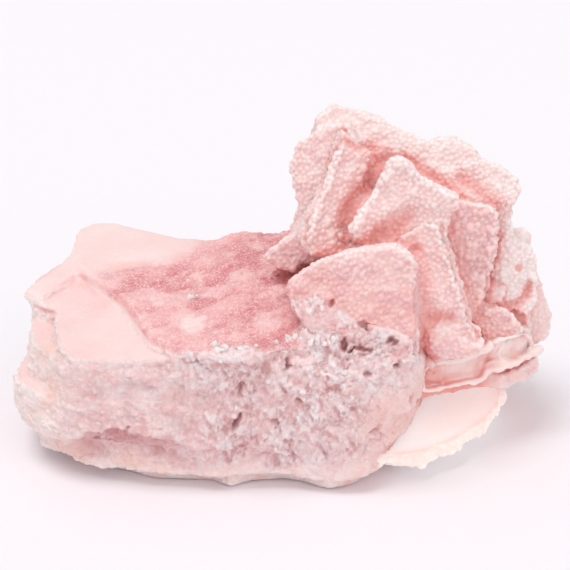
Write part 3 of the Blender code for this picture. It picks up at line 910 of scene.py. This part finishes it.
def slab_relief(points, normals):
    """How far each point faces up, the wall's rise, and the wall's shares of crumbs and of the recess."""
    x, y, z = points.T
    wobble = 5 * fractal(points, 8.0, 4, 31)
    rim = ease(-27.8, -24.5, y + 0.3 * wobble) + ease(-12, -18, x)
    up = ease(0.62, 0.9, normals[:, 2]) * np.clip(rim, 0, 1)
    crumbly = ease(-32, -10, x + wobble) * (1 - ease(18, 26, x + wobble))
    crumbly = np.maximum(crumbly * ease(4, 8, z + 0.5 * wobble), ease(23, 27, z) * ease(-6, 0, x))
    left = 1 - ease(-24, -8, x + wobble)
    broad = 0.7 * fractal(points, 9.0, 4, 401)
    layers = 0.4 * fractal(points * (0.35, 1, 1.6), 2.6, 4, 411, 0.6)
    crack = np.abs(fractal(points * (1, 1, 0.7) + wobble[:, None] * 0.3, 4.5, 3, 481))
    fine = 0.3 * fractal(points, 1.1, 3, 461, 0.7) - 0.45 * (1 - ease(0.0, 0.12, crack)) * crumbly
    fine += left * 0.25 * rubble(points * (0.7, 1, 1.2), 1.7, 441) * ease(-0.3, 0.3, broad)
    below = np.interp(x, *zip(*OVERHANG)) + 0.8 * fractal(points, 2.0, 2, 471) - z
    under = left * ease(-0.2, 0.5, below) * (1 - ease(3, 8, below)) * ease(-45, -40, x)
    crumbly = np.maximum(crumbly, 0.9 * under * ease(-42, -34, x))
    wall = broad + (0.35 + 0.65 * left) * layers + crumbly * crumbly_relief(points) + fine - 1.3 * under
    step = ease(28, 29.5, z) * ease(0, -8, x)
    return up, wall * (1 - 0.6 * step), crumbly, under


def spot_share(points, spots, warp=(1.5, 3.0, 3, 99), fade=(0.2, 1.2)):
    """How near each point is to the middle of a spot, from 0 to 1; warp makes the spots uneven."""
    reach, *noise = warp
    warped = points + reach * fractal(points, *noise)[:, None]
    share = np.zeros(len(points))
    for middle, sizes in spots:
        gap = np.linalg.norm((warped - middle) / np.array(sizes), axis=1)
        share = np.maximum(share, 1 - ease(*fade, gap))
    return share


def warm_shares(points):
    """Where the rock is peach, and where it is flushed: low on its right."""
    x, _, z = points.T
    rightward = x + 3 * fractal(points, 6.0, 3, 97)
    flush = ease(10, 19, rightward) * ease(26, 19, z)
    peach = (flush, 1 - ease(-50, -34, x), 1 - ease(3, 8, z), ease(18, 25, x),
             ease(28.5, 30, z) * ease(0, -8, x))
    return np.max(peach, axis=0), flush


def slab(name, meshes, material):
    """The broken slab: smooth beds, a sugary rose-coloured patch on them, and crumbly walls."""
    points, faces, seen = base_surface(meshes, SLAB_VOXEL)
    normals, edge, shade = studied(points, faces, seen, 12)
    places = points + wander(points, 1.5, 5.0, 3, (91, 92, 93))
    rose = smoothed(inside(ROSE, places[:, 0], places[:, 1])[:, None].astype(float), faces, 60)[:, 0]
    walls = (normals[:, 2] < 0.8) & (normals[:, 1] < 0.3)
    patch = (rose > 0.3) & (points[:, 1] < 12) & (points[:, 2] > 28)
    rough = (walls | patch) & seen & in_front(points, faces)
    points, faces, shade, edge, rose, _ = refined(points, faces, (shade, edge, rose), rough)
    x, y, z = points.T
    over = z - LOWER_BED - y * math.tan(math.radians(BED_RISE))
    step = ease(0.2, 0.9, over) * ease(-11, -14, x) * ease(-27.5, -25.5, y)
    rose = rose * ease(0.8, 1.6, over)
    normals = normals_of(points, faces)
    up, wall, crumbly, under = slab_relief(points, normals)
    bed = 0.2 * fractal(points, 9.0, 2, 481) + 0.03 * fractal(points, 1.2, 2, 482)
    dunes = 0.8 * fractal(points @ SLANT * (0.5, 1.4, 1), 6.0, 4, 501) + 0.2 * rubble(points, 1.3, 521)
    dunes += 0.14 * fractal(points, 0.8, 2, 511)
    top = (1 - rose) * bed + rose * dunes
    creased, carved = crease_share(points, BED_CREASES)
    # Painted shade in the creases, and painted shadow in the SHADOWS spots.
    shade = np.maximum(np.maximum(shade, 0.55 * creased), 0.36 * spot_share(points, SHADOWS))
    rise = up * top + (1 - up) * wall - hollow_depth(points) - carved
    foot = ease(0.0, 1.5, z)
    points = points + normals * rise[:, None] * np.stack([0.6 + 0.4 * foot, 0.6 + 0.4 * foot, foot], axis=1)
    points[:, 2] = np.maximum(points[:, 2], 0)
    peach, flush = warm_shares(points)
    pale = spot_share(points, PALE_SPOTS, (0.8, 2.0, 2, 95), (0.6, 1.1))
    rosy = np.maximum(rose * (1 - pale), 0.2 * ease(1.2, 0.6, over))
    # Painted shade where the wall sinks in and in the recess under the ledge.
    sunk = ease(-0.6, -1.8, rise) * (1 - up)
    finished(name, points, faces, material,
             {"shade": shade, "edge": 0.5 + edge, "rose": rosy, "up": np.maximum(up, step),
              "crumbly": crumbly * (1 - up) * (1 - 0.8 * flush), "peach": peach,
              "sunk": np.maximum(sunk, 0.8 * under), "relief": 0.5 + 0.8 * crumbly_relief(points),
              "dune": 0.5 + 0.8 * dunes, "flush": flush, "blush": spot_share(points, BLUSHES)})


def ledges(name, meshes, material):
    """Thin smooth growths with pale lips, the paleness a painted highlight on their edges."""
    points, faces, seen = base_surface(meshes, SHELF_VOXEL)
    normals, edge, shade = studied(points, faces, seen, 16)
    x, _, z = points.T
    # Less painted shade on the loop at the right, painted shade in the crevice under the lower lip.
    shade = shade * (1 - ease(42, 44, x) * ease(16.5, 17.5, z))
    shade = np.maximum(shade, 0.75 * seen * ease(15.2, 14.4, z) * ease(45, 38, x))
    rise = 0.4 * fractal(points, 3.5, 3, 551) + 0.2 * fractal(points, 1.2, 3, 561)
    rise = rise + 0.3 * rubble(points, 1.8, 571) * ease(41, 46, x) * ease(18, 16, z)
    points = points + normals * np.where(seen, rise, 0)[:, None]
    pink = ease(41, 46, x) * ease(19, 16, z)
    finished(name, points, faces, material, {"shade": shade, "edge": 0.5 + edge, "pink": pink})


def plate(name, meshes, material):
    """The thin plate that the cluster stands on at the right."""
    points, faces, seen = base_surface(meshes, PLATE_VOXEL, 4)
    normals, edge, shade = studied(points, faces, seen, 60)
    up = ease(0.62, 0.9, normals[:, 2])
    ragged = 0.7 * fractal(points, 4.0, 4, 601) + 0.45 * rubble(points, 1.7, 611)
    rise = up * 0.12 * fractal(points, 8.0, 2, 621) + (1 - up) * ragged * ease(0, 1.2, points[:, 2])
    finished(name, points + normals * rise[:, None], faces, material, {"shade": shade, "edge": edge})


def crumbs(name, material):
    """Loose white bits on the bed."""
    rng = np.random.default_rng(5)
    points, faces = [], []
    for x, y, z, radius in CRUMBS:
        shell = bmesh.new()
        bmesh.ops.create_icosphere(shell, subdivisions=3, radius=1)
        ball, sides = arrays(mesh_from(shell))
        uneven = 1 + 0.45 * rubble(ball + rng.random(3) * 90, 0.9, 77)
        stretch = rng.uniform(0.5, 1.1, 3) * radius
        faces.append(sides + sum(len(made) for made in points))
        points.append(ball * uneven[:, None] * stretch + (x, y, z - 0.35))
    points, faces = np.concatenate(points), np.concatenate(faces)
    # edge 0.7 paints the crumbs a little paler, a painted highlight.
    fields = {"edge": 0.7, "crumbly": 1, "relief": 0.8}
    fields.update(dict.fromkeys(("shade", "rose", "up", "sunk", "peach", "dune", "flush", "blush"), 0))
    finished(name, points, faces, material,
             {field: np.full(len(points), float(value)) for field, value in fields.items()})


# ---------------------------------------------------------------- materials

def material_of(name):
    material = bpy.data.materials.new(name)
    material.use_nodes = True
    return material, material.node_tree.nodes["Principled BSDF"]


def feed(node, sockets):
    """Sets each of the node's sockets to a constant, or links it to another node's socket."""
    for name, value in sockets.items():
        socket = node.inputs[name]
        if isinstance(value, bpy.types.NodeSocket):
            node.id_data.links.new(value, socket)
        else:
            socket.default_value = (*value, 1) if socket.type == "RGBA" else value


class Shades:
    """Builds one material's colour from fields and noise."""

    def __init__(self, name, roughness, subsurface, depth=0.45):
        self.material, self.shader = material_of(name)
        feed(self.shader, {"Roughness": roughness, "IOR": 1.544, "Subsurface Weight": subsurface,
                           "Subsurface Radius": (1.0, 0.8, 0.75), "Subsurface Scale": depth * MM})
        self.place = self.add("TexCoord", {}).outputs["Object"]

    def add(self, kind, sockets, **settings):
        node = self.material.node_tree.nodes.new("ShaderNode" + kind)
        for name, value in settings.items():
            setattr(node, name, value)
        feed(node, sockets)
        return node

    def field(self, name):
        return self.add("Attribute", {}, attribute_name=name).outputs["Fac"]

    def noise(self, size, detail=3.0):
        """Noise with features this many mm across, from 0 to 1."""
        sockets = {"Vector": self.place, "Scale": 1 / (size * MM), "Detail": detail}
        return self.add("TexNoise", sockets).outputs["Fac"]

    def ramp(self, value, low, high, out_low=0.0, out_high=1.0):
        return self.add("MapRange", dict(enumerate((value, low, high, out_low, out_high)))).outputs[0]

    def times(self, a, b):
        return self.add("Math", {0: a, 1: b}, operation="MULTIPLY").outputs[0]

    def layered(self, colour, *layers):
        """Lays colours over this one: (field's name or noise's size and detail, its ramp, the colour)."""
        for driver, ramp, layer in layers:
            value = self.field(driver) if isinstance(driver, str) else self.noise(*driver)
            share = self.ramp(value, *ramp)
            colour = self.add("Mix", {0: share, 6: colour, 7: layer}, data_type="RGBA").outputs[2]
        return colour

    def finish(self, colour, rough_size, rough_low, rough_high, height, bump):
        """Links the colour, a roughness that varies with noise of this size, and relief bump mm high."""
        rough = self.ramp(self.noise(rough_size), 0.3, 0.7, rough_low, rough_high)
        relief = self.add("Bump", {"Strength": 1.0, "Distance": bump * MM, "Height": height})
        feed(self.shader, {"Base Color": colour, "Roughness": rough, "Normal": relief.outputs["Normal"]})
        return self.material


def crust_colour(kit):
    """White crumbs over greyer, mauve hollows; the darkening in the hollows is painted shade."""
    return kit.layered(
        (0.87, 0.61, 0.605),
        ((4.0, 4.0), (0.42, 0.6), (0.88, 0.73, 0.73)),
        ((1.4, 4.0), (0.46, 0.36, 0, 0.6), (0.74, 0.47, 0.47)),
        ("relief", (0.45, 0.75), (0.97, 0.86, 0.85)),
        ("relief", (0.1, 0.4, 1.0, 0.0), (0.71, 0.41, 0.41)))


def crystal_material():
    kit = Shades("sugary_halite", 0.4, 0.8, 0.7)
    mauve = kit.layered(
        (0.74, 0.46, 0.485),
        ((4.0, 3.0), (0.42, 0.6), (0.82, 0.54, 0.50)),
        ("tone", (0.3, 1.0, 0, 0.6), (0.93, 0.68, 0.67)))
    # The grains' tops: painted highlight on edges and painted light on upward faces.
    pale = kit.layered(
        (0.95, 0.64, 0.62),
        ("tone", (0, 1, 0.1, 0.9), (0.96, 0.74, 0.72)),
        ("tint", (PLAIN, 1, 0, 0.9), mauve),
        ("tint", (0, PLAIN, 0.85, 0), (1.0, 0.87, 0.85)),
        ("edge", (0.58, 1.1, 0, 0.5), (0.99, 0.86, 0.84)),
        ("up", (0, 1, 0, 0.75), (1.0, 0.89, 0.87)))
    crust = kit.layered(crust_colour(kit), ("shade", (0.2, 0.8, 0, 0.7), (0.72, 0.37, 0.37)))
    # Between the grains darker than on their tops, painted shade and painted highlight; upward faces
    # lighter, painted light.
    whole = kit.layered(
        (0.88, 0.49, 0.47),
        ("up", (0, 1, 0, 0.5), (0.93, 0.66, 0.64)),
        ("tint", (0, 0.5, 0.6, 0), (0.95, 0.72, 0.70)),
        ("grain", (0, 0.85, 0.58, 1.0), pale),
        ("shade", (0.05, 0.5, 0, 0.9), (0.85, 0.38, 0.35)),
        ((5.0, 3.0), (0.35, 0.65, 0, 0.25), (0.98, 0.78, 0.74)),
        ("crumbly", (0, 1), crust))
    return kit.finish(whole, 0.6, 0.3, 0.5, kit.noise(0.3, 2.0), 0.12)


def rock_material():
    kit = Shades("massive_halite", 0.5, 0.5)
    rose = kit.layered(
        (0.71, 0.26, 0.28),
        ("dune", (0.15, 0.75), (0.89, 0.47, 0.47)),
        ((5.0, 5.0), (0.48, 0.66, 0, 0.75), (0.95, 0.65, 0.63)),
        ((0.4, 1.0), (0.55, 0.64, 0, 0.7), (0.97, 0.76, 0.75)))
    top = kit.layered(
        (0.97, 0.745, 0.725),
        ((12.0, 4.0), (0.4, 0.62), (0.96, 0.69, 0.67)),
        ("rose", (0.05, 0.95), rose))
    warm = kit.layered(
        (0.985, 0.82, 0.79),
        ((5.0, 4.0), (0.48, 0.62), (0.955, 0.66, 0.61)),
        ((1.0, 4.0), (0.52, 0.66, 0, 0.4), (0.98, 0.86, 0.82)))
    whole = kit.layered(
        (0.88, 0.57, 0.555),
        ((5.0, 5.0), (0.42, 0.58), (0.82, 0.63, 0.63)),
        ((8.0, 5.0), (0.5, 0.66, 0, 0.8), (0.97, 0.80, 0.77)),
        ((1.0, 4.0), (0.48, 0.62, 0, 0.5), (0.96, 0.81, 0.79)),
        ((1.8, 5.0), (0.44, 0.32, 0, 0.6), (0.76, 0.46, 0.46)),
        ("peach", (0, 1, 0, 0.9), warm),
        ("flush", (0, 1, 0, 0.7), (0.97, 0.61, 0.57)),
        ("crumbly", (0.1, 0.8), crust_colour(kit)),
        # Painted shade in the sunken wall and the recess; painted highlight on edges.
        ("sunk", (0.1, 1.0, 0, 0.85), (0.74, 0.40, 0.41)),
        ("edge", (0.6, 1.0, 0, 0.6), (0.98, 0.85, 0.84)),
        ("up", (0, 1), top),
        ("blush", (0, 1, 0, 0.7), (0.95, 0.63, 0.56)),
        ("shade", (0.12, 0.65, 0, 0.85), (0.78, 0.36, 0.36)))
    height = kit.times(kit.noise(0.6, 4.0), kit.ramp(kit.field("up"), 0, 1, 1.0, 0.35))
    return kit.finish(whole, 1.5, 0.4, 0.7, height, 0.35)


def ledge_material():
    kit = Shades("lipped_halite", 0.35, 0.8, 0.8)
    whole = kit.layered(
        (0.96, 0.63, 0.59),
        ((5.0, 3.0), (0.4, 0.6), (0.98, 0.76, 0.72)),
        ("pink", (0, 1, 0, 0.8), (0.95, 0.62, 0.60)),
        # Painted highlight on the lips' edges; painted shade in the hollows.
        ("edge", (0.52, 0.85, 0, 0.9), (0.98, 0.86, 0.84)),
        ("shade", (0.15, 0.6, 0, 0.9), (0.82, 0.36, 0.33)))
    return kit.finish(whole, 1.5, 0.3, 0.5, kit.noise(0.5, 3.0), 0.1)


def plate_material():
    kit = Shades("clear_spar", 0.35, 1.0, 6.0)
    whole = kit.layered(
        (0.95, 0.80, 0.76),
        ((9.0, 3.0), (0.35, 0.65), (0.95, 0.77, 0.74)),
        # Painted light where the cluster shades the plate; painted shade deep under it.
        ("shade", (0.1, 0.5), (0.99, 0.91, 0.88)),
        ("edge", (0.02, 0.4), (0.80, 0.52, 0.45)),
        ("shade", (0.7, 0.98, 0, 0.6), (0.88, 0.55, 0.52)))
    # Painted glow: emission on the plate in place of light scattered inside it.
    feed(kit.shader, {"Emission Color": (0.82, 0.98, 1.0), "Emission Strength": PAINTED_GLOW})
    return kit.finish(whole, 2.5, 0.3, 0.5, kit.noise(1.2, 3.0), 0.1)


# ---------------------------------------------------------------- stage

def add_stage():
    bpy.ops.mesh.primitive_plane_add(size=6)
    floor = bpy.context.object
    floor.name = "floor"
    material, shader = material_of("white_table")
    feed(shader, {"Base Color": (0.93, 0.90, 0.935), "Roughness": 0.8, "Specular IOR Level": 0.2})
    floor.data.materials.append(material)
    world = bpy.data.worlds.new("studio")
    world.use_nodes = True
    feed(world.node_tree.nodes["Background"], {"Color": (1, 0.995, 1), "Strength": 0.64})
    bpy.context.scene.world = world
    add_sun("key", (-0.3, -0.15, 1), 1.1, 30)
    add_sun("fill", (0.35, -0.7, 0.5), 0.55, 60)


def aimed(name, data, back):
    """A lamp or camera that looks away from this direction."""
    made = new_object(name, data)
    made.rotation_mode = "QUATERNION"
    made.rotation_quaternion = Vector(back).to_track_quat("Z", "Y")
    return made


def add_sun(name, towards, strength, spread):
    light = bpy.data.lights.new(name, "SUN")
    light.energy = strength
    light.angle = math.radians(spread)
    aimed(name, light, towards)


def add_camera():
    rise = math.radians(CAMERA_RISE)
    back = Vector((0, -math.cos(rise), math.sin(rise)))
    camera = bpy.data.cameras.new("camera")
    camera.lens = 100
    camera.sensor_width = 36
    camera.clip_start = 0.01
    eye = aimed("camera", camera, back)
    eye.location = (Vector((0, 0, LOOK_HEIGHT)) - FOOT_MIDDLE + back * CAMERA_DISTANCE) * MM
    bpy.context.scene.camera = eye


CRYSTAL_MESHES = {name: crystal_mesh(name) for name in CRYSTALS}
BACKING = [cube(*sizes) for sizes in CUBES]
SLOPE = Matrix.Rotation(math.radians(BED_RISE), 4, "X")
BEDS = [prism(outline, top - bottom, level(top)) for bottom, top, outline in STRATA]
BEDS.append(prism(LOWER_OUTLINE, 7.5, level(LOWER_BED) @ SLOPE))
BEDS.append(prism(RIM_OUTLINE, BED_THICKNESS, level(LOWER_BED + 1.5) @ SLOPE))
BEDS.append(prism(UPPER_OUTLINE, BED_THICKNESS, level(UPPER_BED) @ SLOPE))
BEDS.append(prism(CRUST_OUTLINE, 8, face_place(*CRUST_PLACE)))
SHELVES = [prism(outline, top - bottom, level(top)) for bottom, top, outline in FLAKES]
SHELVES += [lip(width, places) for width, places in LIPS]
SPAR = prism(SPAR_OUTLINE, SPAR_THICKNESS, level(SPAR_TOP))
EVERYTHING = tree_from(shell_of([*CRYSTAL_MESHES.values(), *BACKING, *BEDS, *SHELVES, SPAR]))
SOLID = solid_tree()


def main():
    bpy.context.scene.view_settings.view_transform = "Standard"
    halite = crystal_material()
    rock = rock_material()
    spar = plate_material()
    lipped = ledge_material()
    for name, crystals, seed, crusted in GROUPS:
        tinted = [crystal for crystal in crystals if crystal in TINTS]
        meshes = [CRYSTAL_MESHES[crystal] for crystal in crystals]
        sugary(name, meshes, halite, seed, tinted=tinted, crusted=crusted)
    sugary("crystals_back", BACKING, halite, 400, voxel=BACK_VOXEL, coarse=BACK_GRAINS)
    ledges("shelves", SHELVES, lipped)
    slab("slab", BEDS, rock)
    plate("spar_plate", [SPAR], spar)
    crumbs("crumbs", rock)
    add_stage()
    add_camera()


main()
